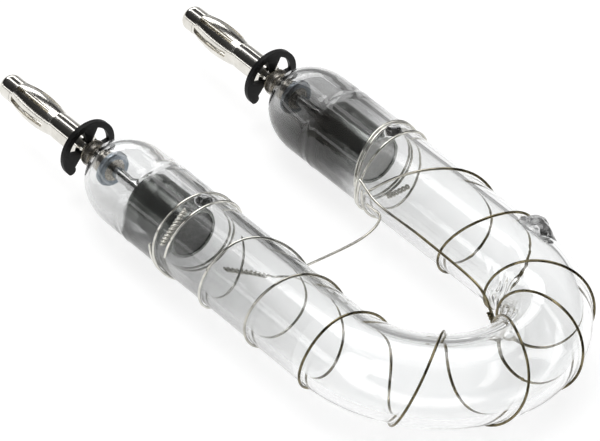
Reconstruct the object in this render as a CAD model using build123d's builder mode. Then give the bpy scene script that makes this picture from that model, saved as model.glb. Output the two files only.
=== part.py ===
from build123d import *
from math import cos, pi, radians, sin, sqrt
import os

os.makedirs("parts", exist_ok=True)

# A U-shaped flash tube that lies flat: X runs across its two legs, +Y points out of the plugs and +Z is up.
# The origin is midway between the plug axes, on the front faces of the two retaining clips.

# Glass
tube_diameter = 13.0
tube_wall = 1.25
leg_pitch = 34.0
leg_length = 42.65  # from the bend to the shoulder of an end dome
weld_inset = 4.65  # from the shoulder back to the ring where the dome is fused on
dome_height = 7.3
neck_height = 0.7  # glass pulled up round the stem
neck_wall = 0.45
bead_diameter = 2.2
bead_stations = {"left": 28.3, "right": 27.15}  # from the bend, each between two turns of its band
tip_base_diameter = 4.2
tip_top_diameter = 2.4
tip_height = 2.4
tip_station = 0.1  # from the bend, up the right leg
tip_around = 58.0
tip_round = 1.0

# Electrodes
stem_diameter = 3.5
stem_reach = 3.75  # how far the stem runs in past the top of the dome
seal_diameter = 5.4
seal_length = 0.9
seal_round = 0.3
rod_diameter = 1.8
shell_diameter = 8.0
shell_wall = 0.5
shell_length = 10.2
face_setback = 13.45  # from the shoulder of the dome back to the open end of the shell
emitter_recess = 0.3
emitter_thickness = 2.0
shell_round = 0.2
shell_floor = 1.0

# Plugs
exposed_stem = 0.55
collar_diameter = 4.1
collar_length = 1.3
collar_groove = 0.2
collar_chamfer = 0.2
socket_depth = 0.6  # how far the stem enters the collar
neck_length = 0.65
pin_diameter = 4.0
groove_diameter = 3.0
clip_thickness = 0.7
clip_play = 0.05
shank_length = 5.5
core_diameter = 2.0
cage_length = 10.0
cage_play = 0.05
cage_thickness = 0.3
cage_bulge_diameter = 4.85
cage_back_ring = 0.9
slot_setback = 2.05  # from the back of the cage to its slots
cage_front_ring = 0.5
cage_leaves = 6
slot_width = 0.85
nose_diameter = 3.8
nose_length = 3.0
nose_round = 1.3

# Retaining clips
clip_diameter = 9.2
clip_band = 1.0
clip_mouth = 84.0  # opening at the foot, in degrees
lobe_diameter = 1.4
lobe_angle = 45.0  # each rounded end, from straight down
# Each prong's corners as angles from straight down: two at its foot, two where it joins the band
top_prong = (163.0, -163.0, -160.0, 160.0)
side_prong = (62.0, 88.0, 96.0, 42.0)

# Trigger wire
wire_diameter = 0.4
wire_clearance = 0.06
twist_diameter = 0.8
steps_per_turn = 12

# Worked out from the sizes above
tube_radius = tube_diameter / 2
bore_radius = tube_radius - tube_wall
bend_radius = leg_pitch / 2
bend_length = pi * bend_radius
clip_back = -clip_thickness
groove_back = -clip_thickness - clip_play
collar_front = groove_back - neck_length
collar_back = collar_front - collar_length
dome_top = collar_back - exposed_stem
shoulder_y = dome_top - neck_height - dome_height
weld_y = shoulder_y - weld_inset
bend_y = shoulder_y - leg_length
stem_end = dome_top - stem_reach
face_y = shoulder_y - face_setback
shell_back = face_y + shell_length
cage_back = shank_length
cage_front = cage_back + cage_length + 2 * cage_play
nose_front = cage_front + nose_length
sides = {"left": -1, "right": 1}


def save(part, label):
    part.label = label
    export_step(part, f"parts/{label}.step")


def leg_plane(side, y):
    """A plane across one leg at height y, whose local Z runs along +Y."""
    return Plane(origin=(side * leg_pitch / 2, y, 0), x_dir=(1, 0, 0), z_dir=(0, 1, 0))


def side_plane(side):
    """The plane along one leg for profiles: local X is the radius, local Y runs along +Y."""
    return Plane(origin=(side * leg_pitch / 2, 0, 0), x_dir=(1, 0, 0), z_dir=(0, 0, 1))


def leg_axis(side):
    return Axis((side * leg_pitch / 2, 0, 0), (0, 1, 0))


# Stations run along the centre line: below zero on the left leg, round the bend, then up the right leg.
def left(distance):
    return -distance


def round_bend(degrees):
    return radians(degrees) * bend_radius


def right(distance):
    return bend_length + distance


def centre_line(station):
    """The centre line's point and the direction away from the middle of the U, at a station."""
    if station < 0:
        return Vector(-bend_radius, bend_y - station, 0), Vector(-1, 0, 0)
    if station > bend_length:
        return Vector(bend_radius, bend_y + station - bend_length, 0), Vector(1, 0, 0)
    angle = station / bend_radius
    out = Vector(-cos(angle), -sin(angle), 0)
    return Vector(0, bend_y, 0) + out * bend_radius, out


def on_tube(station, around, radius):
    """A point beside the tube: around is 0 on the U's outer side, 90 on top and 180 on its inner side."""
    centre, out = centre_line(station)
    return centre + out * (radius * cos(radians(around))) + Vector(0, 0, radius * sin(radians(around)))


def tube_run(diameter, left_top, right_top):
    """A round bar along the U, up to the given Y on each leg."""
    with BuildPart() as run:
        with BuildLine():
            Line((-bend_radius, left_top), (-bend_radius, bend_y))
            CenterArc((0, bend_y), bend_radius, 180, 180)
            Line((bend_radius, bend_y), (bend_radius, right_top))
        with BuildSketch(leg_plane(-1, left_top)):
            Circle(diameter / 2)
        sweep()
    return run.part


def wire(points, diameter):
    """A round wire through straight runs, with a tangent arc at every corner."""
    corner_share = 0.48
    with BuildPart() as strand:
        with BuildLine() as route:
            last = points[0]
            for before, corner, after in zip(points, points[1:], points[2:]):
                back = (before - corner).normalized()
                ahead = (after - corner).normalized()
                reach = corner_share * min((before - corner).length, (after - corner).length)
                half_angle = radians(back.get_angle(ahead)) / 2
                middle = (back + ahead).normalized()
                start = corner + back * reach
                end = corner + ahead * reach
                crown = corner + middle * (reach * (1 - sin(half_angle)) / cos(half_angle))
                Line(last, start)
                ThreePointArc(start, crown, end)
                last = end
            Line(last, points[-1])
        with BuildSketch(Plane(origin=route.line @ 0, z_dir=route.line % 0)):
            Circle(diameter / 2)
        sweep()
    return strand.part


# --- Glass envelope ---

outer_run = tube_run(tube_diameter, weld_y, weld_y)
outer_form = tube_run(tube_diameter, shoulder_y, shoulder_y)
bore_run = tube_run(2 * bore_radius, weld_y, weld_y)

with BuildPart() as glass_tube:
    add(outer_run)
    add(bore_run, mode=Mode.SUBTRACT)
save(glass_tube.part, "glass_tube")


def dome_point(half_width, height, radius):
    """The point on an elliptical dome at a radius, in the profile's plane."""
    return radius, shoulder_y + height * sqrt(1 - (radius / half_width) ** 2)


neck_radius = stem_diameter / 2 + neck_wall
arc_share = 0.75  # the radius, as a share, at which a dome's arc meets its ellipse between the ends
for name, side in sides.items():
    with BuildPart() as end_dome:
        with BuildSketch(side_plane(side)):
            with BuildLine():
                inner_height = dome_height - tube_wall
                outer_end = dome_point(tube_radius, dome_height, neck_radius)
                inner_end = dome_point(bore_radius, inner_height, stem_diameter / 2)
                Line((bore_radius, weld_y), (tube_radius, weld_y))
                Line((tube_radius, weld_y), (tube_radius, shoulder_y))
                ThreePointArc(
                    (tube_radius, shoulder_y),
                    dome_point(tube_radius, dome_height, tube_radius * arc_share),
                    outer_end,
                )
                Line(outer_end, (neck_radius, dome_top))
                Line((neck_radius, dome_top), (stem_diameter / 2, dome_top))
                Line((stem_diameter / 2, dome_top), inner_end)
                ThreePointArc(
                    inner_end,
                    dome_point(bore_radius, inner_height, bore_radius * arc_share),
                    (bore_radius, shoulder_y),
                )
                Line((bore_radius, shoulder_y), (bore_radius, weld_y))
            make_face()
        revolve(axis=leg_axis(side))
    save(end_dome.part, f"{name}_end_dome")

    # A small glass bead fused on top of the leg keeps the band from sliding
    with BuildPart() as locating_bead:
        with Locations((side * leg_pitch / 2, bend_y + bead_stations[name], tube_radius)):
            Sphere(bead_diameter / 2)
        add(outer_form, mode=Mode.SUBTRACT)
    save(locating_bead.part, f"{name}_locating_bead")

tip_foot = on_tube(right(tip_station), tip_around, tube_radius - tube_wall / 2)
tip_up = (on_tube(right(tip_station), tip_around, tube_radius) - tip_foot).normalized()
with BuildPart() as exhaust_tip:
    with BuildSketch(Plane(origin=tip_foot, z_dir=tip_up)):
        Circle(tip_base_diameter / 2)
    with BuildSketch(Plane(origin=tip_foot + tip_up * (tube_wall / 2 + tip_height), z_dir=tip_up)):
        Circle(tip_top_diameter / 2)
    loft()
    fillet(exhaust_tip.faces().sort_by(Axis(tip_foot, tip_up))[-1].edges(), tip_round)
    add(outer_form, mode=Mode.SUBTRACT)
save(exhaust_tip.part, "exhaust_tip")

# --- Electrodes, stems and plugs, the same on both legs ---

for name, side in sides.items():
    with BuildPart() as stem:
        with BuildSketch(leg_plane(side, stem_end)):
            Circle(stem_diameter / 2)
        extrude(amount=collar_back + socket_depth - stem_end)
    save(stem.part, f"{name}_stem")

    with BuildPart() as seal_sleeve:
        with BuildSketch(leg_plane(side, stem_end)):
            Circle(seal_diameter / 2)
            Circle(stem_diameter / 2, mode=Mode.SUBTRACT)
        extrude(amount=seal_length)
        fillet(seal_sleeve.edges().filter_by(GeomType.CIRCLE).group_by(SortBy.RADIUS)[-1], seal_round)
    save(seal_sleeve.part, f"{name}_seal_sleeve")

    with BuildPart() as electrode_rod:
        with BuildSketch(leg_plane(side, shell_back)):
            Circle(rod_diameter / 2)
        extrude(amount=stem_end - shell_back)
    save(electrode_rod.part, f"{name}_electrode_rod")

    # A closed can whose open end faces the discharge
    with BuildPart() as electrode_shell:
        with BuildSketch(leg_plane(side, face_y)):
            Circle(shell_diameter / 2)
        extrude(amount=shell_length)
        with BuildSketch(leg_plane(side, face_y)):
            Circle(shell_diameter / 2 - shell_wall)
        extrude(amount=shell_length - shell_floor, mode=Mode.SUBTRACT)
        fillet(electrode_shell.edges().filter_by(GeomType.CIRCLE).group_by(SortBy.RADIUS)[-1], shell_round)
    save(electrode_shell.part, f"{name}_electrode_shell")

    with BuildPart() as emitter:
        with BuildSketch(leg_plane(side, face_y + emitter_recess)):
            Circle(shell_diameter / 2 - shell_wall)
        extrude(amount=emitter_thickness)
    save(emitter.part, f"{name}_emitter")

    with BuildPart() as collar:
        with BuildSketch(leg_plane(side, collar_back)):
            Circle(collar_diameter / 2)
        extrude(amount=collar_length)
        with BuildSketch(leg_plane(side, collar_back)):
            Circle(stem_diameter / 2)
        extrude(amount=socket_depth, mode=Mode.SUBTRACT)
        with BuildSketch(leg_plane(side, collar_back + collar_length / 2)):
            Circle(collar_diameter / 2)
            Circle(collar_diameter / 2 - collar_groove, mode=Mode.SUBTRACT)
        extrude(amount=collar_groove, mode=Mode.SUBTRACT)
        chamfer(collar.faces().sort_by(Axis.Y)[-1].edges(), collar_chamfer)
    save(collar.part, f"{name}_collar")

    # One turned pin: cone, clip groove, shank, core inside the cage and solid nose
    with BuildPart() as plug_pin:
        with BuildSketch(side_plane(side)):
            with BuildLine():
                Polyline(
                    (0, collar_front),
                    (pin_diameter / 2, collar_front),
                    (groove_diameter / 2, groove_back),
                    (groove_diameter / 2, clip_play),
                    (pin_diameter / 2, clip_play),
                    (pin_diameter / 2, cage_back),
                    (core_diameter / 2, cage_back),
                    (core_diameter / 2, cage_front),
                    (nose_diameter / 2, cage_front),
                    (nose_diameter / 2, nose_front),
                    (0, nose_front),
                    close=True,
                )
            make_face()
        revolve(axis=leg_axis(side))
        fillet(plug_pin.faces().sort_by(Axis.Y)[-1].edges(), nose_round)
    save(plug_pin.part, f"{name}_plug_pin")

    # The lantern cage: two rings joined by bowed leaves, free to turn on the core
    cage_start = cage_back + cage_play
    cage_end = cage_front - cage_play
    cage_middle = (cage_start + cage_end) / 2
    ring_radius = core_diameter / 2 + cage_play
    with BuildPart() as contact_cage:
        with BuildSketch(side_plane(side)):
            with BuildLine():
                back_radius = pin_diameter / 2 - cage_play
                front_radius = nose_diameter / 2
                bulge_radius = cage_bulge_diameter / 2
                leaf_start = cage_start + cage_back_ring
                leaf_end = cage_end - cage_front_ring
                Polyline((ring_radius, cage_start), (back_radius, cage_start), (back_radius, leaf_start))
                ThreePointArc(
                    (back_radius, leaf_start),
                    (bulge_radius, cage_middle),
                    (front_radius, leaf_end),
                )
                Polyline((front_radius, leaf_end), (front_radius, cage_end), (ring_radius, cage_end))
                Polyline(
                    (ring_radius, cage_end),
                    (ring_radius, leaf_end),
                    (front_radius - cage_thickness, leaf_end),
                )
                ThreePointArc(
                    (front_radius - cage_thickness, leaf_end),
                    (bulge_radius - cage_thickness, cage_middle),
                    (back_radius - cage_thickness, leaf_start),
                )
                Polyline(
                    (back_radius - cage_thickness, leaf_start),
                    (ring_radius, leaf_start),
                    (ring_radius, cage_start),
                )
            make_face()
        revolve(axis=leg_axis(side))
        with BuildSketch(leg_plane(side, cage_start + slot_setback)):
            with PolarLocations(0, cage_leaves):
                with Locations((cage_bulge_diameter / 2, 0)):
                    Rectangle(cage_bulge_diameter, slot_width)
        extrude(amount=leaf_end - cage_start - slot_setback, mode=Mode.SUBTRACT)
    save(contact_cage.part, f"{name}_contact_cage")

    # An open clip with three prongs that snaps into the pin's groove, its mouth pointing down
    with BuildPart() as retaining_clip:
        clip_radius = clip_diameter / 2
        prong_foot = groove_diameter / 2 + clip_play
        foot_reach = prong_foot * cos(pi / 6)  # inside the round hub that trims every prong's foot
        prong_head = clip_radius - clip_band / 2
        with BuildSketch(leg_plane(side, clip_back)):
            Circle(clip_radius)
            Circle(clip_radius - clip_band, mode=Mode.SUBTRACT)
            with BuildLine():
                # The plane's local Y points down
                mouth_x = clip_diameter * sin(radians(clip_mouth / 2))
                mouth_y = clip_diameter * cos(radians(clip_mouth / 2))
                Polyline((0, 0), (mouth_x, mouth_y), (-mouth_x, mouth_y), close=True)
            make_face(mode=Mode.SUBTRACT)
            for turns in (top_prong, side_prong, tuple(-turn for turn in side_prong)):
                # Each corner sits at its angle from straight down, two at the foot and two in the band
                reaches = (foot_reach, foot_reach, prong_head, prong_head)
                corners = [(r * sin(radians(t)), r * cos(radians(t))) for r, t in zip(reaches, turns)]
                with BuildLine():
                    Polyline(*corners, close=True)
                make_face()
            for angle in (90 - lobe_angle, 90 + lobe_angle):
                reach = clip_radius - lobe_diameter / 2
                with Locations((reach * cos(radians(angle)), reach * sin(radians(angle)))):
                    Circle(lobe_diameter / 2)
            Circle(prong_foot, mode=Mode.SUBTRACT)
        extrude(amount=clip_thickness)
    save(retaining_clip.part, f"{name}_retaining_clip")

# --- Trigger wire ---

first_layer = tube_radius + wire_clearance + wire_diameter / 2
second_layer = first_layer + wire_diameter + wire_clearance
corner_stretch = 1 / cos(pi / steps_per_turn)


def wound_points(stations, start, radius):
    """Corner points of a wire wound on the tube, from the stations it has at every quarter turn."""
    per_quarter = steps_per_turn // 4
    points = []
    for mark, (here, there) in enumerate(zip(stations, stations[1:])):
        for step in range(per_quarter):
            share = step / per_quarter
            around = start + 90 * (mark + share)
            points.append(on_tube(here + (there - here) * share, around, radius * corner_stretch))
    end = start + 90 * (len(stations) - 1)
    return points + [on_tube(stations[-1], end, radius * corner_stretch)]


# The coil, as the stations where it passes the outer side, the top, the inner side and the underside
left_leg_stations = [
    *(left(25.6), left(21.6)),
    *(left(19.8), left(18.5), left(11.4), left(10.7)),
    *(left(10.3), left(8.2), left(4.2), left(0.3)),
    *(round_bend(4), round_bend(7), round_bend(24), round_bend(35)),
    *(round_bend(43), round_bend(52), round_bend(66)),
]
bend_stations = [
    *(round_bend(66), round_bend(74)),
    *(round_bend(84), round_bend(90), round_bend(118), round_bend(112)),
    *(round_bend(114), round_bend(121), round_bend(144), round_bend(142)),
    *(round_bend(143), round_bend(150), round_bend(172)),
]
right_leg_stations = [
    *(round_bend(172), right(0.4)),
    *(right(3.0), right(3.3), right(8.5), right(10.0)),
    *(right(10.9), right(15.9), right(24.3)),
]
inner_side = -180
save(wire(wound_points(left_leg_stations, inner_side, first_layer), wire_diameter), "left_leg_coil")
save(wire(wound_points(bend_stations, inner_side, first_layer), wire_diameter), "bend_coil")
save(wire(wound_points(right_leg_stations, inner_side, first_layer), wire_diameter), "right_leg_coil")

# The bands wound round each leg on either side of its bead
left_band_stations = [
    *(left(27.6), left(26.9), left(27.3), left(28.2)),
    *(left(30.3), left(29.75), left(28.0), left(28.9), left(31.0)),
]
right_band_stations = [
    *(right(25.0), right(24.9), right(26.6), right(25.8)),
    *(right(25.5), right(28.1), right(28.2), right(28.55)),
    *(right(26.0), right(28.6), right(28.8), right(29.05), right(26.5)),
]
save(wire(wound_points(left_band_stations, 0, first_layer), wire_diameter), "left_band")
save(wire(wound_points(right_band_stations, inner_side, first_layer), wire_diameter), "right_band")

# A straight wire ties the right band to the coil along the inner side of the leg, over the turns it crosses
tie_points = [
    on_tube(right(25.6), 167, second_layer),
    on_tube(right(21.0), 178, second_layer),
    on_tube(right(12.0), 177, second_layer),
    on_tube(right(1.5), 180, second_layer),
    on_tube(round_bend(168), 187, second_layer),
    on_tube(round_bend(158), 199, second_layer),
]
save(wire(tie_points, wire_diameter), "tie_wire")

# A wire bridges the gap between the legs, from the tied side of one to the underside of the other
bridge_points = [
    on_tube(right(23.4), 190, second_layer),
    on_tube(right(20.6), 196, second_layer),
    Vector(5.4, bend_y + 19.3, -3.1),
    Vector(-4.8, bend_y + 18.9, -3.4),
    on_tube(left(18.0), 200, second_layer + wire_diameter / 2),
    on_tube(left(19.6), 207, second_layer + wire_diameter / 2),
]
save(wire(bridge_points, wire_diameter), "bridge_wire")

# Where two ends are twisted together
twist_layer = tube_radius + wire_clearance + twist_diameter / 2
raised_twist_layer = first_layer + wire_diameter / 2 + wire_clearance + twist_diameter / 2
twists = {
    "left_band_twist": [
        on_tube(left(28.5), 14, twist_layer),
        on_tube(left(28.2), 26, twist_layer),
        on_tube(left(28.05), 38, twist_layer),
        on_tube(left(28.15), 50, twist_layer),
        on_tube(left(28.4), 62, twist_layer),
    ],
    "right_band_twist": [
        on_tube(right(27.45), -80, twist_layer),
        on_tube(right(27.4), -69, twist_layer),
        on_tube(right(27.1), -58, twist_layer),
        on_tube(right(26.6), -47, twist_layer),
    ],
    "bend_twist": [
        on_tube(round_bend(157.5), 200, raised_twist_layer),
        on_tube(round_bend(155.5), 206, raised_twist_layer),
        on_tube(round_bend(151.5), 212, raised_twist_layer),
    ],
    "bridge_twist": [
        on_tube(left(19.9), 209, raised_twist_layer),
        on_tube(left(22.0), 217, raised_twist_layer),
        on_tube(left(24.2), 227, raised_twist_layer),
        on_tube(left(26.2), 236, raised_twist_layer),
    ],
}
for label, points in twists.items():
    save(wire(points, twist_diameter), label)
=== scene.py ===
# %% [markdown]
# # A U-shaped flash tube
# A studio flash lamp: a clear quartz tube bent into a U, with an electrode sealed into each leg, a plug on
# each end and a thin trigger wire wound round the glass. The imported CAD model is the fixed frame. What shows
# well as turned or stamped metal keeps its CAD shape and gets a finish. The glass and the wires are built
# again here, because blown glass and hand-wound wire are softer than any CAD solid.

# %% Load the frame
import math

import bmesh
import bpy
import numpy as np
from mathutils import Matrix, Vector


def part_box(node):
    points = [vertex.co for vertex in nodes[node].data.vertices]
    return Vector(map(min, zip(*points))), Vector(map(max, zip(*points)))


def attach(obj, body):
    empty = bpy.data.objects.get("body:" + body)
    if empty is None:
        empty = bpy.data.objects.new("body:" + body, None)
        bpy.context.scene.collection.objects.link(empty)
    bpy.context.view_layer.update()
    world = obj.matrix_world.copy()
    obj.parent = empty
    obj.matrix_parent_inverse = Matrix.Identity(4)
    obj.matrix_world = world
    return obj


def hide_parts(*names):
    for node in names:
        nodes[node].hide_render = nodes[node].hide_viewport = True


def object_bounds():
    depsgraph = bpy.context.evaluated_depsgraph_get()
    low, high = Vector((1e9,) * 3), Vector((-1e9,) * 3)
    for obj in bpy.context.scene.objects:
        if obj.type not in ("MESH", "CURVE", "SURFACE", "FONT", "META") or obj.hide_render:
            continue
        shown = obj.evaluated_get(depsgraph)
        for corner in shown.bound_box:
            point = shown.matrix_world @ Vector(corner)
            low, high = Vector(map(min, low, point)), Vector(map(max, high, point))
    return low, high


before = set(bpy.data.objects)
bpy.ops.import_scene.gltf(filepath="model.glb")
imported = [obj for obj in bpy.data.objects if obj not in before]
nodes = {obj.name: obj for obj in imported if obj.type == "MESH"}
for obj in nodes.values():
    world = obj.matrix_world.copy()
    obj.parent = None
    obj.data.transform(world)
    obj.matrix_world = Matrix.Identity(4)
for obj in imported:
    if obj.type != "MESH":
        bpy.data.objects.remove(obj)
cad_low, cad_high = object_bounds()
MM = 0.001
print("frame:", len(nodes), "nodes, box", [round(v / MM, 1) for v in cad_high - cad_low], "mm")

# %% [markdown]
# ## Where things are
# Every size that the frame can tell is measured from its nodes. The centre line of the glass runs down the
# left leg, round the bend and up the right leg. A station is a length along it: below zero on the left leg,
# zero to the bend's length round the bend, and beyond that on the right leg.

# %% Sizes from the frame
glass_low, glass_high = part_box("glass_tube")
dome_low, dome_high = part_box("right_end_dome")
tube_radius = glass_high.z
leg_x = (dome_low.x + dome_high.x) / 2
bend_radius = leg_x
bend_y = glass_low.y + tube_radius + bend_radius
bend_length = math.pi * bend_radius
stem_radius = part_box("right_stem")[1].z
weld_reach = glass_high.y - bend_y
top_reach = dome_high.y - bend_y
floor_z = cad_low.z

tube_wall = 1.25 * MM
dome_height = 7.3 * MM
neck_height = 0.7 * MM
lip_width = 0.18 * MM
leg_reach = top_reach - dome_height - neck_height
bore_radius = tube_radius - tube_wall
print("tube radius", round(tube_radius / MM, 2), "mm, leg", round(leg_reach / MM, 2), "mm, bend at",
      round(bend_y / MM, 2), "mm")

# %% [markdown]
# ## Camera
# The lamp is seen from above its left leg, from far away through a long lens, so that its two legs look
# nearly parallel. The camera is a little rolled. Its place is the aim point, less the viewing direction times
# the distance.

# %% Camera
view_azimuth = math.radians(-44.76)
view_elevation = math.radians(35.80)
view_roll = math.radians(7.84)
view_distance = 0.7345
aim_point = Vector((-2.06, -29.67, 0.0)) * MM
level = math.cos(view_elevation)
ahead = Vector((-math.sin(view_azimuth) * level, math.cos(view_azimuth) * level, -math.sin(view_elevation)))
level_right = ahead.cross(Vector((0, 0, 1))).normalized()
level_up = level_right.cross(ahead)
picture_right = level_right * math.cos(view_roll) + level_up * math.sin(view_roll)
picture_up = level_up * math.cos(view_roll) - level_right * math.sin(view_roll)
lens = bpy.data.cameras.new("camera")
lens.sensor_width = 36.0
lens.lens = 314.2
lens.clip_start = 0.01
lens.clip_end = 10.0
camera = bpy.data.objects.new("camera", lens)
bpy.context.scene.collection.objects.link(camera)
axes = Matrix((picture_right, picture_up, -ahead)).transposed()
camera.matrix_world = Matrix.Translation(aim_point - ahead * view_distance) @ axes.to_4x4()
bpy.context.scene.camera = camera
print("camera at", [round(v, 4) for v in camera.location])

# %% [markdown]
# ## Table and light
# Clear glass shows by what it bends, so the lamp lies on a pale table that glows where the lamp is. The glow
# fades further out, and the room falls away to grey. Where the wall of the glass turns from the eye, it picks
# up the grey room, and that draws its thin dark edges. Large soft lights make the long highlights.

# %% Helpers for node trees
def new_material(name):
    """An empty material with its shader and output in place."""
    material = bpy.data.materials.new(name)
    material.use_nodes = True
    tree = material.node_tree
    shader = tree.nodes["Principled BSDF"]
    return material, tree, shader


def add_node(tree, kind, **settings):
    """A node with its settings given by name: an input's name, or a property's name."""
    node = tree.nodes.new(kind)
    for name, value in settings.items():
        label = name.replace("_", " ")
        if label in node.inputs:
            node.inputs[label].default_value = value
        else:
            setattr(node, name, value)
    return node


def colour(*parts):
    return (*parts, 1.0)


def grey(level):
    return colour(level, level, level)


def ramp(tree, source, stops):
    """A colour ramp read from a value, with its stops as (place, colour)."""
    node = tree.nodes.new("ShaderNodeValToRGB")
    while len(node.color_ramp.elements) < len(stops):
        node.color_ramp.elements.new(0.5)
    for element, (place, shade) in zip(node.color_ramp.elements, stops):
        element.position = place
        element.color = shade
    tree.links.new(source, node.inputs["Fac"])
    return node.outputs["Color"]


def share_to(tree, source, low, high):
    """Turns a 0 to 1 value into one between low and high."""
    node = add_node(tree, "ShaderNodeMapRange", To_Min=low, To_Max=high)
    tree.links.new(source, node.inputs["Value"])
    return node.outputs["Result"]


# %% Table
def plane_mesh(name, corners):
    """A flat sheet with four corners, in order round it."""
    mesh = bpy.data.meshes.new(name)
    mesh.from_pydata(corners, [], [tuple(range(len(corners)))])
    sheet = bpy.data.objects.new(name, mesh)
    bpy.context.scene.collection.objects.link(sheet)
    return sheet


table_half = 3.0
table_z = floor_z - 0.02 * MM
table = plane_mesh("table", [(-table_half, -table_half, table_z), (table_half, -table_half, table_z),
                             (table_half, table_half, table_z), (-table_half, table_half, table_z)])
table_finish, tree, shader = new_material("pale table")
grain = add_node(tree, "ShaderNodeTexNoise", Scale=40.0, Detail=4.0)
where = add_node(tree, "ShaderNodeTexCoord")
tree.links.new(where.outputs["Object"], grain.inputs["Vector"])
pale = ramp(tree, grain.outputs["Fac"], [(0.0, grey(0.28)), (1.0, grey(0.31))])
tree.links.new(pale, shader.inputs["Base Color"])
shader.inputs["Roughness"].default_value = 0.9
shader.inputs["Specular IOR Level"].default_value = 0.0
from_lamp = add_node(tree, "ShaderNodeVectorMath", operation="LENGTH")
tree.links.new(where.outputs["Object"], from_lamp.inputs[0])
glow = ramp(tree, from_lamp.outputs["Value"], [(0.14, grey(1.0)), (0.45, grey(0.22))])  # places in metres
tree.links.new(glow, shader.inputs["Emission Color"])
shader.inputs["Emission Strength"].default_value = 0.82
table.data.materials.append(table_finish)

# %% Room and lights
world = bpy.data.worlds.new("studio")
world.use_nodes = True
bpy.context.scene.world = world
tree = world.node_tree
backdrop = tree.nodes["Background"]
where = add_node(tree, "ShaderNodeTexCoord")
split = add_node(tree, "ShaderNodeSeparateXYZ")
tree.links.new(where.outputs["Generated"], split.inputs["Vector"])
sky = ramp(tree, split.outputs["Z"], [(0.0, grey(0.15)), (0.12, grey(0.09)), (0.26, grey(0.02)),
                                      (0.72, grey(0.05)), (1.0, colour(0.42, 0.42, 0.43))])
tree.links.new(sky, backdrop.inputs["Color"])
backdrop.inputs["Strength"].default_value = 1.0


def soft_light(name, place, aim, size, power):
    """A large rectangular light that looks at a point."""
    data = bpy.data.lights.new(name, "AREA")
    data.shape = "RECTANGLE"
    data.size, data.size_y = size
    data.energy = power
    light = bpy.data.objects.new(name, data)
    bpy.context.scene.collection.objects.link(light)
    light.location = place
    light.rotation_euler = (Vector(aim) - Vector(place)).to_track_quat("-Z", "Y").to_euler()
    return light


aim = (0.0, -0.03, 0.0)
soft_light("overhead light", (0.1, 0.2, 0.9), aim, (0.9, 0.5), 4.5)
soft_light("left light", (-0.9, -0.1, 0.5), aim, (0.4, 0.9), 2.8)
soft_light("back light", (0.4, 0.9, 0.55), aim, (0.8, 0.3), 2.0)
soft_light("grey back card", (0.75, 0.85, 0.32), aim, (1.3, 0.6), 0.8)
soft_light("front light", (0.75, -0.55, 0.45), aim, (0.25, 0.9), 1.6)
bpy.context.scene.view_settings.view_transform = "Standard"
cycles = bpy.context.scene.cycles
cycles.max_bounces = 32
cycles.transmission_bounces = 28
cycles.glossy_bounces = 16
cycles.transparent_max_bounces = 16
cycles.caustics_refractive = True
cycles.caustics_reflective = True
cycles.use_denoising = True
print("soft lights over a pale table")

# %% [markdown]
# Every long part of the lamp lies along Y, and a straight bar mirrors only what lies on one cone round its
# own axis, whose slope is the eye's. So two narrow strip lights stand on that cone, with a wide dark gap
# between them. They draw the bright and black stripes of polished metal and the long streaks on the glass.

# %% Strip lights for the long parts
cone_out = math.hypot(ahead.x, ahead.z)


def strip_light(name, around, width, power, distance=0.8, length=0.8):
    """A narrow light at an angle round the Y axis, on the cone that bars along Y mirror to the camera. Its
    place is the distance times (the cone's radius times cosine and sine, and the eye's slope along Y)."""
    turn = math.radians(around)
    direction = Vector((cone_out * math.cos(turn), ahead.y, cone_out * math.sin(turn)))
    light = soft_light(name, direction * distance, (0, 0, 0), (width, length), power)
    across = Vector((-math.sin(turn), 0, math.cos(turn)))
    facing = direction.normalized()
    light.rotation_euler = Matrix((across, facing.cross(across), facing)).transposed().to_euler()


strip_light("upper strip", 88, 0.12, 0.7)
strip_light("left strip", 172, 0.08, 0.35)

# %% [markdown]
# ## Surfaces from grids
# A new piece is a grid of points worked out with numpy. Rows run along the piece and columns run round it.
# Where a grid is closed, its last row or column meets its first. A rounded end shrinks its last ring to one
# point, and those doubled points are merged, so that no hole is left.

# %% Grid to mesh
def quads_between(index):
    """Faces over a grid of point numbers. Each joins row r to r + 1 and column c to c + 1, and the last
    column meets the first."""
    here, there = index[:-1], index[1:]
    return np.stack([here, np.roll(here, -1, 1), np.roll(there, -1, 1), there], -1).reshape(-1, 4)


def sleeve_piece(name, grid, finish, stands_for=()):
    """A smooth closed sleeve through a grid of points, rows along the piece and columns round it. The last
    row meets the first."""
    rows, columns = grid.shape[:2]
    index = np.arange(rows * columns).reshape(rows, columns)
    quads = quads_between(np.vstack([index, index[:1]]))
    mesh = bpy.data.meshes.new(name)
    mesh.vertices.add(rows * columns)
    mesh.vertices.foreach_set("co", grid.astype(np.float32).ravel())
    mesh.loops.add(quads.size)
    mesh.loops.foreach_set("vertex_index", quads.astype(np.int32).ravel())
    mesh.polygons.add(len(quads))
    mesh.polygons.foreach_set("loop_start", np.arange(0, quads.size, 4, dtype=np.int32))
    mesh.update(calc_edges=True)
    finish_piece(name, mesh, finish, stands_for)


def finish_piece(name, mesh, finish, stands_for):
    """Merges doubled points, turns the faces outward, shades them smooth and hangs the piece on its body."""
    work = bmesh.new()
    work.from_mesh(mesh)
    bmesh.ops.remove_doubles(work, verts=work.verts, dist=1e-8)
    bmesh.ops.recalc_face_normals(work, faces=work.faces)
    work.to_mesh(mesh)
    work.free()
    mesh.polygons.foreach_set("use_smooth", np.ones(len(mesh.polygons), bool))
    mesh.materials.append(finish)
    piece = bpy.data.objects.new(name, mesh)
    bpy.context.scene.collection.objects.link(piece)
    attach(piece, "flash_tube")
    if stands_for:
        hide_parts(*stands_for)
    print(name, "has", len(mesh.polygons), "faces")


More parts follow.
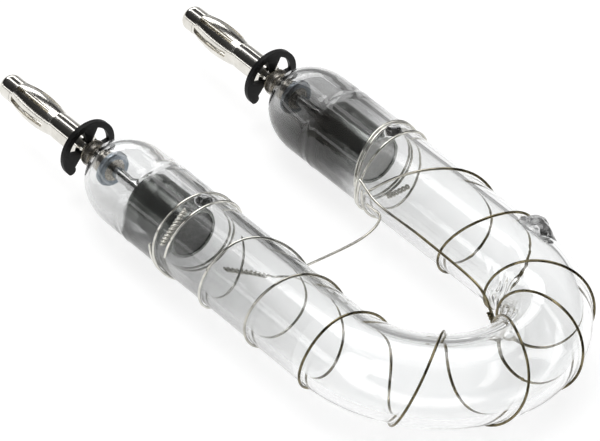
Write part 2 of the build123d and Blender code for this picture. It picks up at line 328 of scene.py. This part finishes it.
# %% The centre line
def centre_line(station):
    """Points on the U's centre line and the direction away from the middle of the U. On the legs the point
    moves straight up Y. Round the bend it is the bend's centre plus its radius along that direction."""
    angle = np.clip(station / bend_radius, 0, math.pi)
    out = np.stack([-np.cos(angle), -np.sin(angle), np.zeros_like(angle)], -1)
    up_leg = np.maximum(-station, 0) + np.maximum(station - bend_length, 0)
    centre = np.array([0, bend_y, 0]) + out * bend_radius
    centre[..., 1] += up_leg
    return centre, out


def on_tube(station, around, radius):
    """Points beside the tube, and the direction outward there. Around is an angle in degrees: 0 on the outer
    side of the U, 90 on top and 180 on the inner side. The point is the centre plus radius times the cosine
    outward and the sine upward."""
    values = (np.asarray(value, float) for value in (station, around, radius))
    station, around, radius = np.broadcast_arrays(*values)
    centre, out = centre_line(station)
    turn = np.radians(around)[..., None]
    away = out * np.cos(turn) + np.array([0, 0, 1.0]) * np.sin(turn)
    return centre + away * radius[..., None], away


# %% [markdown]
# ## The glass
# The glass is one fused piece: a bent tube, two blown ends that close on the stems, a bead on each leg and
# the nub where the lamp was pumped out and sealed. It needs a true wall, because the edge of the bore is what
# one sees inside the tube. So the surface is one closed sleeve: it runs up the outside from stem to stem and
# comes back along the bore. The bead and the nub are swellings of its outer side, as they are once the glass
# has flowed together, and the grid is finer there.

# %% Lines of the glass grid
def fine_line(stops, steps):
    """Values along a line, with a step for each span between two stops. A step is the largest gap there."""
    spans = [np.linspace(a, b, max(2, int(math.ceil(abs(b - a) / step)) + 1))[:-1]
             for a, b, step in zip(stops, stops[1:], steps)]
    return np.concatenate(spans + [np.array([stops[-1]])])


dome_bluntness = 0.97
dome_wall = 0.75 * MM
stem_bite = 0.06 * MM
bead_radius = 1.15 * MM
bead_reach = {-1: 28.3 * MM, 1: 27.15 * MM}
tip_reach = 0.1 * MM
tip_around = 58.0

around_lines = fine_line([-180, -140, 28, 88, 100, 140, 180], [2.0, 4.2, 1.4, 0.9, 4.2, 2.0])[:-1]


def blunt(rise):
    """A dome's radius as a share of the tube's, at a rise angle: the cosine to a power below 1."""
    return np.cos(rise) ** dome_bluntness


def rise_at(share):
    """The rise angle at which the dome has narrowed to a share of the tube's radius."""
    return math.acos(share ** (1 / dome_bluntness))


def leg_outside(side):
    """Reach up the leg, and radius, of the outer wall from the bend to the stem: a straight tube, a blunt
    dome whose height goes with the sine of the rise angle, and a narrow rounded lip against the stem."""
    bead = bead_reach[side]
    first = 1.0 * MM if side < 0 else 4.2 * MM
    stops = [first, bead - 1.4 * MM, bead + 1.4 * MM, weld_reach - 1.5 * MM, weld_reach + 2.6 * MM, leg_reach]
    straight = fine_line(stops, [1.6 * MM, 0.14 * MM, 1.2 * MM, 0.22 * MM, 0.7 * MM])
    lip_top = top_reach - lip_width
    rise_end = rise_at((stem_radius + lip_width) / tube_radius)
    outer_height = (lip_top - leg_reach) / math.sin(rise_end)
    rise = np.linspace(0, rise_end, 36)[1:]
    lip_turn = np.linspace(0.25, 1, 4) * math.pi / 2
    lip_reach = lip_top + lip_width * np.sin(lip_turn)
    lip_radius = stem_radius + lip_width * np.cos(lip_turn)
    reach = np.concatenate([straight, leg_reach + outer_height * np.sin(rise), lip_reach])
    tube = np.full(len(straight), tube_radius)
    radius = np.concatenate([tube, tube_radius * blunt(rise), lip_radius])
    radius[-1] = stem_radius - stem_bite
    return reach, radius


def leg_bore():
    """Reach and radius of the bore, from the stem back to the bend. Inside the dome the wall thins with the
    sine of the rise angle, as blown glass does."""
    rise = np.linspace(rise_at((stem_radius - stem_bite) / bore_radius), 0, 30)
    dome_reach = leg_reach + (dome_height + neck_height - dome_wall) * np.sin(rise)
    wall = tube_wall - (tube_wall - dome_wall) * np.sin(rise)
    dome_radius = np.maximum((tube_radius - wall) * blunt(rise), stem_radius - stem_bite)
    straight = fine_line([leg_reach, weld_reach + 1.5 * MM, weld_reach - 1.5 * MM, 1.0 * MM],
                         [0.6 * MM, 0.3 * MM, 1.6 * MM])[1:]
    tube = np.full(len(straight), bore_radius)
    return np.concatenate([dome_reach, straight]), np.concatenate([dome_radius, tube])


# %% The glass sleeve
left_reach, left_radius = leg_outside(-1)
right_reach, right_radius = leg_outside(1)
bore_reach, bore_profile = leg_bore()
bend_outside = fine_line([0, bend_length - 12.0 * MM, bend_length + 3.9 * MM], [1.0 * MM, 0.2 * MM])
bend_inside = fine_line([bend_length, bend_length - 12.0 * MM, 0], [0.25 * MM, 1.0 * MM])
outside_station = np.concatenate([-left_reach[::-1], bend_outside, bend_length + right_reach])
outside_radius = np.concatenate([left_radius[::-1], np.full(len(bend_outside), tube_radius), right_radius])
inside_station = np.concatenate([bend_length + bore_reach, bend_inside, -bore_reach[::-1]])
inside_radius = np.concatenate([bore_profile, np.full(len(bend_inside), bore_radius), bore_profile[::-1]])


def weld_ring(station, around, depth):
    """The ring where an end was fused on: a low ridge, whose line wanders a little as it goes round, with a
    shallow groove beyond it."""
    reach = np.maximum(-station, station - bend_length)
    turn = np.radians(around)
    line = weld_reach + (0.25 * np.sin(turn * 3 + 0.6) + 0.15 * np.sin(turn * 7 + 2.0)) * MM
    ridge = np.exp(-((reach - line) / (0.42 * MM)) ** 2)
    groove = np.exp(-((reach - line - 1.0 * MM) / (0.5 * MM)) ** 2)
    return depth * (ridge - 0.55 * groove)


def swelling(station, around, middle_station, middle_around, foot, height, fullness):
    """A rounded lump on the wall: its height times (1 - distance over foot to a power) to another power."""
    along = station - middle_station
    across = tube_radius * np.radians(around - middle_around)
    share = np.clip(np.hypot(along, across) / foot, 0, 1)
    return height * (1 - share ** fullness) ** (1 / fullness)


def wrinkles(station, around, depth):
    """Small folds on the inner side of the bend's right end, where the hot glass was pressed together: waves
    in both directions, strongest at their middle and gone within a few millimetres."""
    along = (station - wrinkle_station) / (5.0 * MM)
    across = (np.abs(around) - 180.0) / 42.0
    strength = np.exp(-along ** 2 - across ** 2)
    turn = np.radians(around)
    waves = np.sin(station / (0.62 * MM) + 2.2 * np.sin(turn * 5)) * np.cos(turn * 9 + 0.7)
    ripples = np.sin(station / (0.41 * MM) + 3 * np.sin(turn * 7))
    return depth * strength * (0.6 * waves + 0.6 * ripples)


wrinkle_station = bend_length - 4.0 * MM
s, a = np.meshgrid(outside_station, around_lines, indexing="ij")
radius = np.repeat(outside_radius[:, None], len(around_lines), 1) + wrinkles(s, a, 0.03 * MM)
on_legs = (s < -2 * MM) | (s > bend_length + 2 * MM)
radius = radius + np.where(on_legs, weld_ring(s, a, 0.08 * MM), 0)
for side, bead_place in ((-1, -bead_reach[-1]), (1, bend_length + bead_reach[1])):
    radius = radius + swelling(s, a, bead_place, 90.0, bead_radius, 1.05 * MM, 2.2)
tip_station = bend_length + tip_reach
tip_lumps = [  # along the leg, round it in degrees, foot, height, fullness
    (0.0, 0.0, 2.8, 0.70, 1.4),
    (-1.05, 6.0, 1.6, 0.70, 1.5),
    (0.95, -7.0, 1.5, 0.80, 1.5),
    (0.25, 9.0, 1.2, 0.40, 1.5),
    (-0.35, -12.0, 1.2, 0.35, 1.5),
]
for along, turned, foot, height, fullness in tip_lumps:
    radius = radius + swelling(s, a, tip_station + along * MM, tip_around + turned, foot * MM, height * MM,
                               fullness)
tip_mound = swelling(s, a, tip_station, tip_around, 2.6 * MM, 1.0, 1.5)
creases = np.sin((s - tip_station) / (0.17 * MM) + 1.3 * np.sin(np.radians(a) * 16))
creases = creases * np.cos(np.radians(a - tip_around) * 22)
radius = radius + 0.07 * MM * tip_mound * creases
outside, _ = on_tube(s, a, radius)
s, a = np.meshgrid(inside_station, around_lines, indexing="ij")
radius = np.repeat(inside_radius[:, None], len(around_lines), 1) + wrinkles(s, a, 0.06 * MM)
on_legs = (s < -2 * MM) | (s > bend_length + 2 * MM)
radius = radius - np.where(on_legs, weld_ring(s, a, 0.06 * MM), 0)
pumping_hole = swelling(s, a, tip_station, tip_around, 0.9 * MM, 0.85 * MM, 2.0)
inside, _ = on_tube(s, a, radius + pumping_hole)
glass_grid = np.concatenate([outside, inside])

# %% [markdown]
# Clear quartz is smooth, with a slow waver left from drawing and a few smudges. Where the lamp was pumped out
# and the tip melted off, it is full of tiny bubbles, so near the tip the gloss softens and part of the light
# is scattered. Both come from the distance to the tip.

# %% Quartz finish
clear_glass, tree, shader = new_material("clear quartz")
where = add_node(tree, "ShaderNodeTexCoord")
draw = add_node(tree, "ShaderNodeTexNoise", Scale=90.0, Detail=2.0)
tree.links.new(where.outputs["Object"], draw.inputs["Vector"])
smudge = add_node(tree, "ShaderNodeTexNoise", Scale=240.0, Detail=3.0)
tree.links.new(where.outputs["Object"], smudge.inputs["Vector"])
tip_middle, _ = on_tube(tip_station, tip_around, tube_radius)
to_tip = add_node(tree, "ShaderNodeVectorMath", operation="DISTANCE")
to_tip.inputs[1].default_value = tuple(tip_middle)
tree.links.new(where.outputs["Object"], to_tip.inputs[0])
drawn_off = add_node(tree, "ShaderNodeMapRange", From_Min=3.2 * MM, From_Max=1.6 * MM, To_Max=0.05)
tree.links.new(to_tip.outputs["Value"], drawn_off.inputs["Value"])
gloss = add_node(tree, "ShaderNodeMath", operation="ADD")
tree.links.new(share_to(tree, smudge.outputs["Fac"], 0.0, 0.012), gloss.inputs[0])
tree.links.new(drawn_off.outputs["Result"], gloss.inputs[1])
tree.links.new(gloss.outputs["Value"], shader.inputs["Roughness"])
bubbles = add_node(tree, "ShaderNodeTexNoise", Scale=900.0, Detail=3.0)
tree.links.new(where.outputs["Object"], bubbles.inputs["Vector"])
milky = add_node(tree, "ShaderNodeMath", operation="MULTIPLY")
tree.links.new(share_to(tree, bubbles.outputs["Fac"], -6.0, 20.0), milky.inputs[0])
tree.links.new(drawn_off.outputs["Result"], milky.inputs[1])
clear_share = add_node(tree, "ShaderNodeMath", operation="SUBTRACT", use_clamp=True)
clear_share.inputs[0].default_value = 1.0
tree.links.new(milky.outputs["Value"], clear_share.inputs[1])
tree.links.new(clear_share.outputs["Value"], shader.inputs["Transmission Weight"])
tree.links.new(ramp(tree, smudge.outputs["Fac"], [(0.0, colour(0.97, 0.98, 0.98)), (1.0, grey(1.0))]),
               shader.inputs["Base Color"])
waver = add_node(tree, "ShaderNodeBump", Strength=0.12, Distance=0.00035)
tree.links.new(draw.outputs["Fac"], waver.inputs["Height"])
tree.links.new(waver.outputs["Normal"], shader.inputs["Normal"])
shader.inputs["IOR"].default_value = 1.46
sleeve_piece("glass_envelope", glass_grid, clear_glass,
             ("glass_tube", "left_end_dome", "right_end_dome", "left_locating_bead", "right_locating_bead",
              "exhaust_tip"))

# %% [markdown]
# ## Smoky film
# Every flash knocks a little metal off the electrodes, and it settles on the bore as a smoky film: thickest
# round the electrode, ragged where the end was fused on, and fading towards the bend. The right leg has
# worked harder and is darker. The film is a very thin sleeve. It sits a hair inside the glass and not in the
# gas, because a coat that touches the glass shows right up to the tube's edges, where the bare bore would
# turn the light back. It lets light through, and how much depends on the height up the leg and a slow
# noise. The film is also made thicker on the lower left side of each leg than on its upper right side: that
# side difference is painted shade.

# %% The film in each leg
film_depth, film_thickness = 0.02 * MM, 0.01 * MM


def film_grid(side):
    """A thin closed sleeve that follows the bore up one leg, a little way into the glass: out along its outer
    face and back along its inner one."""
    reach, profile = leg_bore()
    keep = profile > bore_radius * 0.62
    reach, profile = reach[keep], profile[keep]
    station = -reach if side < 0 else bend_length + reach
    s, a = np.meshgrid(station, around_lines, indexing="ij")
    radius = profile[:, None] - weld_ring(s, a, 0.06 * MM) + film_depth + film_thickness
    outer, _ = on_tube(s, a, radius)
    inner, _ = on_tube(s[::-1], a[::-1], radius[::-1] - film_thickness)
    return np.concatenate([outer, inner])


def film_finish(name, tint, stops, patchiness, leg_middle):
    """A dark see-through coat whose thickness goes by the height along Y. It is made greater on the lower left
    side of the leg than on its upper right side, as painted shade. Stops are (mm up from the bend, cover)."""
    material, tree, shader = new_material(name)
    where = add_node(tree, "ShaderNodeTexCoord")
    ragged = add_node(tree, "ShaderNodeTexNoise", Scale=300.0, Detail=1.5, Roughness=0.4)
    tree.links.new(where.outputs["Object"], ragged.inputs["Vector"])
    split = add_node(tree, "ShaderNodeSeparateXYZ")
    tree.links.new(where.outputs["Object"], split.inputs["Vector"])
    shift = add_node(tree, "ShaderNodeMapRange", To_Min=-0.9 * MM, To_Max=0.9 * MM)
    tree.links.new(ragged.outputs["Fac"], shift.inputs["Value"])
    height = add_node(tree, "ShaderNodeMath", operation="ADD")
    tree.links.new(split.outputs["Y"], height.inputs[0])
    tree.links.new(shift.outputs["Result"], height.inputs[1])
    share = add_node(tree, "ShaderNodeMapRange", From_Min=bend_y, From_Max=bend_y + top_reach)
    tree.links.new(height.outputs["Value"], share.inputs["Value"])
    cover = ramp(tree, share.outputs["Result"], [(up * MM / top_reach, grey(part)) for up, part in stops])
    cloud = add_node(tree, "ShaderNodeTexNoise", Scale=170.0, Detail=3.0, Distortion=1.2)
    stretch = add_node(tree, "ShaderNodeMapping", Scale=(1.0, 0.45, 1.0))
    tree.links.new(where.outputs["Object"], stretch.inputs["Vector"])
    tree.links.new(stretch.outputs["Vector"], cloud.inputs["Vector"])
    uneven = share_to(tree, cloud.outputs["Fac"], 1 - patchiness, 1 + patchiness)
    # Painted shade: the side term thickens the film on the lower left side of the leg and thins it on the
    # upper right side.
    side_place = add_node(tree, "ShaderNodeVectorMath", operation="DOT_PRODUCT")
    side_place.inputs[1].default_value = (0.8, 0.0, 0.6)
    tree.links.new(where.outputs["Object"], side_place.inputs[0])
    lean = add_node(tree, "ShaderNodeMapRange", From_Min=0.8 * leg_middle - bore_radius,
                    From_Max=0.8 * leg_middle + bore_radius, To_Min=1.45, To_Max=0.3)
    tree.links.new(side_place.outputs["Value"], lean.inputs["Value"])
    sided = add_node(tree, "ShaderNodeMath", operation="MULTIPLY")
    tree.links.new(cover, sided.inputs[0])
    tree.links.new(lean.outputs["Result"], sided.inputs[1])
    product = add_node(tree, "ShaderNodeMath", operation="MULTIPLY", use_clamp=True)
    tree.links.new(sided.outputs["Value"], product.inputs[0])
    tree.links.new(uneven, product.inputs[1])
    tree.links.new(product.outputs["Value"], shader.inputs["Alpha"])
    shades = [(0.35, colour(*tint)), (0.65, colour(*(part * 0.45 for part in tint)))]
    tree.links.new(ramp(tree, cloud.outputs["Fac"], shades), shader.inputs["Base Color"])
    tree.links.new(share_to(tree, ragged.outputs["Fac"], 0.25, 0.5), shader.inputs["Roughness"])
    shader.inputs["Specular IOR Level"].default_value = 0.3
    return material


light_cover = [(0.0, 0.02), (10.0, 0.06), (20.0, 0.12), (27.5, 0.14), (29.5, 0.18), (34.0, 0.28),
               (37.6, 0.44), (38.4, 0.10), (50.0, 0.04)]
heavy_cover = [(0.0, 0.0), (18.0, 0.03), (27.5, 0.05), (30.0, 0.14), (34.0, 0.34), (37.5, 0.68),
               (40.5, 0.52), (45.0, 0.36), (49.5, 0.10)]
light_film = film_finish("light smoky film", (0.10, 0.105, 0.095), light_cover, 0.55, -leg_x)
heavy_film = film_finish("heavy smoky film", (0.085, 0.080, 0.070), heavy_cover, 0.60, leg_x)
sleeve_piece("left_smoky_film", film_grid(-1), light_film)
sleeve_piece("right_smoky_film", film_grid(1), heavy_film)

# %% [markdown]
# ## Metal finishes
# Turned metal shows fine rings round its axis, drawn metal shows lines along it, and a plated part is smooth
# but never quite even. Each finish below mixes two close colours with a slow noise and breaks up its gloss
# with a finer one. Turned pieces get their tool marks from a very fine wave along Y, because every turned
# piece here turns about Y.

# %% Finish maker
turning_marks = 450.0


def metal_finish(name, dark, light, rough, ring_depth=0.0, patch_scale=600.0, metallic=1.0, shine=0.5):
    """A metal with two shades, uneven gloss and, if ring_depth is above zero, turning marks along Y."""
    material, tree, shader = new_material(name)
    shader.inputs["Metallic"].default_value = metallic
    shader.inputs["Specular IOR Level"].default_value = shine
    where = add_node(tree, "ShaderNodeTexCoord")
    patches = add_node(tree, "ShaderNodeTexNoise", Scale=patch_scale, Detail=5.0, Roughness=0.6)
    tree.links.new(where.outputs["Object"], patches.inputs["Vector"])
    tree.links.new(ramp(tree, patches.outputs["Fac"], [(0.3, colour(*dark)), (0.7, colour(*light))]),
                   shader.inputs["Base Color"])
    grain = add_node(tree, "ShaderNodeTexNoise", Scale=patch_scale * 5, Detail=3.0)
    stretch = add_node(tree, "ShaderNodeMapping", Scale=(1.0, 6.0, 1.0))
    tree.links.new(where.outputs["Object"], stretch.inputs["Vector"])
    tree.links.new(stretch.outputs["Vector"], grain.inputs["Vector"])
    tree.links.new(share_to(tree, grain.outputs["Fac"], *rough), shader.inputs["Roughness"])
    bump = add_node(tree, "ShaderNodeBump", Strength=0.25, Distance=0.00002)
    if ring_depth:
        rings = add_node(tree, "ShaderNodeTexWave", Scale=turning_marks, Distortion=1.5, Detail=2.0)
        rings.bands_direction = "Y"
        tree.links.new(where.outputs["Object"], rings.inputs["Vector"])
        tree.links.new(rings.outputs["Fac"], bump.inputs["Height"])
        bump.inputs["Distance"].default_value = ring_depth
    else:
        tree.links.new(grain.outputs["Fac"], bump.inputs["Height"])
    tree.links.new(bump.outputs["Normal"], shader.inputs["Normal"])
    return material


finishes = {  # dark shade, light shade, roughness, and the depth of the turning marks in metres
    "nickel_plate": metal_finish("bright nickel", (0.66, 0.64, 0.59), (0.80, 0.78, 0.73), (0.07, 0.16),
                                 0.000003),
    "spring_nickel": metal_finish("spring nickel", (0.68, 0.66, 0.61), (0.82, 0.80, 0.75), (0.08, 0.18)),
    "dark_nickel": metal_finish("heat-darkened nickel", (0.34, 0.32, 0.285), (0.54, 0.51, 0.46),
                                (0.20, 0.34), 0.000006),
    "seal_metal": metal_finish("blue-grey seal metal", (0.24, 0.28, 0.32), (0.42, 0.46, 0.50), (0.3, 0.45)),
    "tungsten": metal_finish("drawn tungsten", (0.60, 0.60, 0.60), (0.76, 0.76, 0.75), (0.14, 0.24)),
    "electrode_metal": metal_finish("satin electrode metal", (0.24, 0.25, 0.24), (0.40, 0.41, 0.39),
                                    (0.20, 0.26), 0.0000005, patch_scale=60.0),
    "sintered_emitter": metal_finish("sintered emitter", (0.30, 0.30, 0.30), (0.46, 0.46, 0.45),
                                     (0.6, 0.8), patch_scale=1800.0, metallic=0.3),
    # A paler copy of the sintered emitter for the right electrode: painted light on its face.
    "painted_lit_emitter": metal_finish("pale sintered emitter", (0.74, 0.74, 0.72), (0.92, 0.92, 0.90),
                                  (0.6, 0.8), patch_scale=1800.0, metallic=0.0),
    "black_steel": metal_finish("black spring steel", (0.002, 0.002, 0.002), (0.007, 0.007, 0.007),
                                (0.38, 0.55), metallic=0.0, shine=0.18),
}

# %% Dress the CAD nodes
node_slots = {"stem": "dark_nickel", "seal_sleeve": "seal_metal", "electrode_rod": "tungsten",
              "electrode_shell": "electrode_metal", "emitter": "sintered_emitter", "collar": "dark_nickel",
              "plug_pin": "nickel_plate", "contact_cage": "spring_nickel", "retaining_clip": "black_steel"}
for side in ("left", "right"):
    for part, slot in node_slots.items():
        node = nodes[f"{side}_{part}"]
        node.data.materials.clear()
        # The right emitter gets the paler copy of the emitter finish, as painted light on its face.
        pale = side == "right" and part == "emitter"
        node.data.materials.append(finishes["painted_lit_emitter" if pale else slot])
print("finishes on", 2 * len(node_slots), "nodes")

# %% [markdown]
# ## Trigger wire
# One thin bare wire is wound round the glass by hand, a band of turns grips each leg on either side of its
# bead, and loose ends are twisted together. A wire here is a path of points, each with a direction that says
# which way is outward. A ring of points is set square to the path at each place, and the rings are joined.

# %% Wire from a path
wire_radius = 0.2 * MM
first_layer = tube_radius + 0.06 * MM + wire_radius
second_layer = first_layer + 0.46 * MM
wire_sides = 10


def unit(vectors):
    return vectors / np.linalg.norm(vectors, axis=-1, keepdims=True)


def wire_grid(path, outward):
    """Rings along a path. A ring point is the path point plus the wire's radius times the cosine of its angle
    along the outward normal and the sine along the sideways normal. The radius falls to zero over the last
    radius of length at each end, as a quarter circle does."""
    ahead = unit(np.gradient(path, axis=0))
    outward = unit(outward - ahead * np.sum(outward * ahead, -1, keepdims=True))
    sideways = np.cross(ahead, outward)
    run = np.concatenate([[0], np.cumsum(np.linalg.norm(np.diff(path, axis=0), axis=1))])
    to_end = np.minimum(run, run[-1] - run)
    share = np.clip(1 - to_end / wire_radius, 0, 1)
    size = wire_radius * np.sqrt(1 - share ** 2)
    turn = np.linspace(0, 2 * math.pi, wire_sides, endpoint=False)
    turn = turn[None, :, None]
    ring = outward[:, None] * np.cos(turn) + sideways[:, None] * np.sin(turn)
    return path[:, None] + ring * size[:, None, None], run[-1]


def with_round_ends(path, outward):
    """Adds a few close points at both ends of a path, for its rounded ends."""
    share = np.array([0.0, 0.08, 0.3, 0.65])[:, None] * wire_radius
    first, last = unit(path[:1] - path[1:2]), unit(path[-1:] - path[-2:-1])
    head = path[:1] + first * (wire_radius - share)
    tail = (path[-1:] + last * (wire_radius - share))[::-1]
    return np.concatenate([head, path, tail]), np.concatenate(
        [np.repeat(outward[:1], 4, 0), outward, np.repeat(outward[-1:], 4, 0)])


def smooth(values, width):
    """A running mean with a bell-shaped weight, with the ends held."""
    weight = np.hanning(2 * width + 3)[1:-1]
    padded = np.concatenate([2 * values[0] - values[1:width + 1][::-1], values,
                             2 * values[-1] - values[-width - 1:-1][::-1]])
    return np.convolve(padded, weight / weight.sum(), mode="valid")


def wound_path(stations, start, per_quarter=14, softness=7):
    """A wire wound on the tube, from the stations it has at every quarter turn. The station runs straight
    from one quarter to the next and is then smoothed. The wire lifts a little off the glass in places."""
    quarter = np.arange(len(stations))
    along = np.linspace(0, len(stations) - 1, (len(stations) - 1) * per_quarter + 1)
    station = smooth(np.interp(along, quarter, np.array(stations)), softness)
    around = start + 90 * along
    lift = 0.03 * MM * (1 + np.sin(along * 1.7 + 0.4)) * (1 + np.sin(along * 0.61))
    return on_tube(station, around, first_layer + lift)


def left(distance):
    return -distance * MM


def round_bend(degrees):
    return math.radians(degrees) * bend_radius


def right(distance):
    return bend_length + distance * MM


# %% Wire finish
trigger_wire, tree, shader = new_material("drawn nickel wire")
shader.inputs["Metallic"].default_value = 1.0
where = add_node(tree, "ShaderNodeTexCoord")
split = add_node(tree, "ShaderNodeSeparateXYZ")
tree.links.new(where.outputs["Object"], split.inputs["Vector"])
sideways_share = add_node(tree, "ShaderNodeMath", operation="MULTIPLY")
sideways_share.inputs[1].default_value = -0.35
tree.links.new(split.outputs["X"], sideways_share.inputs[0])
lean = add_node(tree, "ShaderNodeMath", operation="ADD")
tree.links.new(split.outputs["Y"], lean.inputs[0])
tree.links.new(sideways_share.outputs["Value"], lean.inputs[1])
# Towards the bend and the right leg the wire is given a dark olive colour. That is an olive tint of the wire,
# made much darker than the wire is, as painted shade.
olive_tint_and_shade_share = add_node(tree, "ShaderNodeMapRange", From_Min=bend_y + 22 * MM, From_Max=bend_y + 8 * MM)
tree.links.new(lean.outputs["Value"], olive_tint_and_shade_share.inputs["Value"])
blotch = add_node(tree, "ShaderNodeTexNoise", Scale=500.0, Detail=4.0)
tree.links.new(where.outputs["Object"], blotch.inputs["Vector"])
bright = ramp(tree, blotch.outputs["Fac"], [(0.3, colour(0.50, 0.49, 0.45)), (0.7, colour(0.78, 0.77, 0.72))])
# Dark olive: partly the wire's own tint, partly painted shade.
shaded_olive = ramp(tree, blotch.outputs["Fac"],
             [(0.3, colour(0.05, 0.042, 0.024)), (0.7, colour(0.26, 0.22, 0.13))])
tint = add_node(tree, "ShaderNodeMix", data_type="RGBA")
tree.links.new(olive_tint_and_shade_share.outputs["Result"], tint.inputs["Factor"])
tree.links.new(bright, tint.inputs[6])
tree.links.new(shaded_olive, tint.inputs[7])
tree.links.new(tint.outputs[2], shader.inputs["Base Color"])
draw_marks = add_node(tree, "ShaderNodeTexNoise", Scale=5000.0, Detail=2.0)
tree.links.new(where.outputs["Object"], draw_marks.inputs["Vector"])
tree.links.new(share_to(tree, draw_marks.outputs["Fac"], 0.03, 0.10), shader.inputs["Roughness"])
bump = add_node(tree, "ShaderNodeBump", Strength=0.2, Distance=0.00001)
tree.links.new(draw_marks.outputs["Fac"], bump.inputs["Height"])
tree.links.new(bump.outputs["Normal"], shader.inputs["Normal"])


def wire_piece(name, strands, stands_for):
    """One or more wires as a single piece, given as (path, outward) pairs."""
    parts, total = [], 0.0
    for path, outward in strands:
        grid, length = wire_grid(*with_round_ends(path, outward))
        parts.append(grid)
        total += length
    sizes = [part.shape[0] for part in parts]
    rows = np.cumsum([0] + sizes)
    points = np.concatenate(parts).reshape(-1, 3)
    quads = []
    for first, count in zip(rows, sizes):
        index = np.arange(first * wire_sides, (first + count) * wire_sides).reshape(count, wire_sides)
        quads.append(quads_between(index))
    mesh = bpy.data.meshes.new(name)
    mesh.from_pydata(points, [], np.concatenate(quads))
    print(name, "uses", round(total / MM, 1), "mm of wire")
    finish_piece(name, mesh, trigger_wire, stands_for)


# %% [markdown]
# ## The coil
# The stations below are where the wire passes the inner side, the underside, the outer side and the top, one
# after another. They are uneven because a hand wound them.

# %% The coil
coil_stations = [
    *(left(25.6), left(21.6)),
    *(left(19.8), left(18.5), left(11.4), left(10.7)),
    *(left(10.3), left(8.2), left(4.2), left(0.3)),
    *(round_bend(4), round_bend(7), round_bend(24), round_bend(35)),
    *(round_bend(43), round_bend(52), round_bend(66), round_bend(74)),
    *(round_bend(84), round_bend(90), round_bend(118), round_bend(112)),
    *(round_bend(114), round_bend(121), round_bend(144), round_bend(142)),
    *(round_bend(143), round_bend(150), round_bend(172), right(0.4)),
    *(right(3.0), right(3.3), right(8.5), right(10.0)),
    *(right(10.9), right(15.9), right(24.3)),
]
wire_piece("trigger_coil", [wound_path(coil_stations, -180)],
           ("left_leg_coil", "bend_coil", "right_leg_coil"))

# %% [markdown]
# ## Bands, ties and twists
# A twisted end is two wires that turn round each other: each runs a little more than a wire's radius off a
# common line, on opposite sides of it, and goes round that line once for every full twist.

# %% Curves through given points
def through(points, count=60):
    """A smooth path through given points: each span blends its two ends with the slopes of its neighbours,
    as a Catmull-Rom curve does. Points are (position, outward) pairs."""
    place = np.array([p for p, _ in points])
    outward = np.array([o for _, o in points])
    padded = np.concatenate([2 * place[:1] - place[1:2], place, 2 * place[-1:] - place[-2:-1]])
    mark = np.linspace(0, len(place) - 1, count)
    span = np.minimum(mark.astype(int), len(place) - 2)
    t = (mark - span)[:, None]
    p0, p1, p2, p3 = (padded[span + k] for k in range(4))
    path = 0.5 * (2 * p1 + (p2 - p0) * t + (2 * p0 - 5 * p1 + 4 * p2 - p3) * t ** 2
                  + (3 * p1 - p0 - 3 * p2 + p3) * t ** 3)
    out = outward[span] * (1 - t) + outward[span + 1] * t
    return path, unit(out)


def twisted(points, twists, count=160, apart=wire_radius * 1.35):
    """Two wires twisted round a path: each is the path plus a radius times the cosine of the twist along the
    outward normal and the sine along the sideways normal, half a turn apart."""
    path, outward = through(points, count)
    ahead = unit(np.gradient(path, axis=0))
    outward = unit(outward - ahead * np.sum(outward * ahead, -1, keepdims=True))
    sideways = np.cross(ahead, outward)
    turn = np.linspace(0, 2 * math.pi * twists, count)[:, None]
    offset = outward * np.cos(turn) + sideways * np.sin(turn)
    return [(path + offset * apart, offset), (path - offset * apart, -offset)]


twist_layer = tube_radius + 0.46 * MM
raised_layer = first_layer + 0.66 * MM

# %% Bands on the legs
left_band_stations = [left(27.6), left(26.9), left(27.3), left(28.2), left(30.3), left(29.75), left(28.0),
                      left(28.9), left(31.0)]
right_band_stations = [right(25.0), right(24.9), right(26.6), right(25.8), right(25.5), right(28.1),
                       right(28.2), right(28.55), right(26.0), right(28.6), right(28.8), right(29.05),
                       right(26.5)]
wire_piece("left_band", [wound_path(left_band_stations, 0, softness=6)], ("left_band",))
wire_piece("right_band", [wound_path(right_band_stations, -180, softness=6)], ("right_band",))

# %% Twisted splices
left_splice = [on_tube(left(28.5), 14, twist_layer), on_tube(left(28.2), 26, twist_layer),
               on_tube(left(28.05), 38, twist_layer), on_tube(left(28.15), 50, twist_layer),
               on_tube(left(28.4), 62, twist_layer)]
wire_piece("left_band_splice", twisted(left_splice, 5.5), ("left_band_twist",))
right_splice = [on_tube(right(27.45), -80, twist_layer), on_tube(right(27.4), -69, twist_layer),
                on_tube(right(27.1), -58, twist_layer), on_tube(right(26.6), -47, twist_layer)]
wire_piece("right_band_splice", twisted(right_splice, 3.0), ("right_band_twist",))
bend_splice = [on_tube(round_bend(157.5), 200, raised_layer), on_tube(round_bend(155.5), 206, raised_layer),
               on_tube(round_bend(151.5), 212, raised_layer)]
wire_piece("bend_splice", twisted(bend_splice, 2.0), ("bend_twist",))
bridge_splice = [on_tube(left(19.9), 209, raised_layer), on_tube(left(22.0), 217, raised_layer),
                 on_tube(left(24.2), 227, raised_layer), on_tube(left(26.2), 236, raised_layer)]
wire_piece("bridge_splice", twisted(bridge_splice, 4.5), ("bridge_twist",))

# %% Tie and bridge
tie = [on_tube(right(25.6), 167, second_layer), on_tube(right(21.0), 178, second_layer),
       on_tube(right(12.0), 177, second_layer), on_tube(right(1.5), 180, second_layer),
       on_tube(round_bend(168), 187, second_layer), on_tube(round_bend(158), 199, second_layer)]
wire_piece("tie_wire_drawn", [through(tie, 120)], ("tie_wire",))
down = np.array([0.0, 0.0, -1.0])
bridge = [on_tube(right(23.4), 190, second_layer), on_tube(right(20.6), 196, second_layer),
          (np.array([5.4 * MM, bend_y + 19.3 * MM, -3.1 * MM]), down),
          (np.array([-4.8 * MM, bend_y + 18.9 * MM, -3.4 * MM]), down),
          on_tube(left(18.0), 200, second_layer + wire_radius),
          on_tube(left(19.6), 207, second_layer + wire_radius)]
wire_piece("bridge_wire_drawn", [through(bridge, 120)], ("bridge_wire",))
